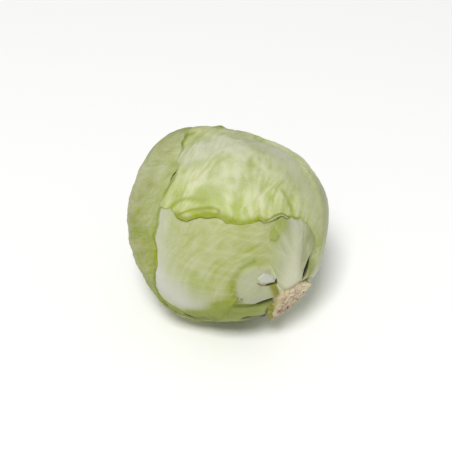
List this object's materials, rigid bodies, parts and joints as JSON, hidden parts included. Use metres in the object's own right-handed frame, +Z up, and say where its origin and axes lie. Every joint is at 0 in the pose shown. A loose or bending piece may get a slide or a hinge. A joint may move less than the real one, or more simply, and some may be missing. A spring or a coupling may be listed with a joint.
{
  "type": "white cabbage",
  "caption": "Whole white cabbage lying on its side, a firm round head of overlapping wrapper leaves with a cut stalk.",
  "frame": {"origin": "on the resting surface, under the middle of the whole cabbage's box", "axes": "+Z up, +X the level direction in which the cut stalk points, +Y to the left of that"},
  "size_m": [0.1691, 0.1652, 0.158],
  "materials": {
    "inner_leaf": "satin",
    "outer_leaf": "satin",
    "cap_leaf": "satin",
    "stalk": "matte"
  },
  "bodies": {
    "root": {"packed_head": "inner_leaf", "cut_stalk": "stalk", "crown_leaf": "inner_leaf", "lower_leaf": "outer_leaf", "front_leaf": "inner_leaf", "under_leaf": "outer_leaf", "rib_leaf": "inner_leaf", "back_leaf": "outer_leaf", "left_leaf": "outer_leaf", "cap_leaf": "cap_leaf"}
  },
  "joints": []
}
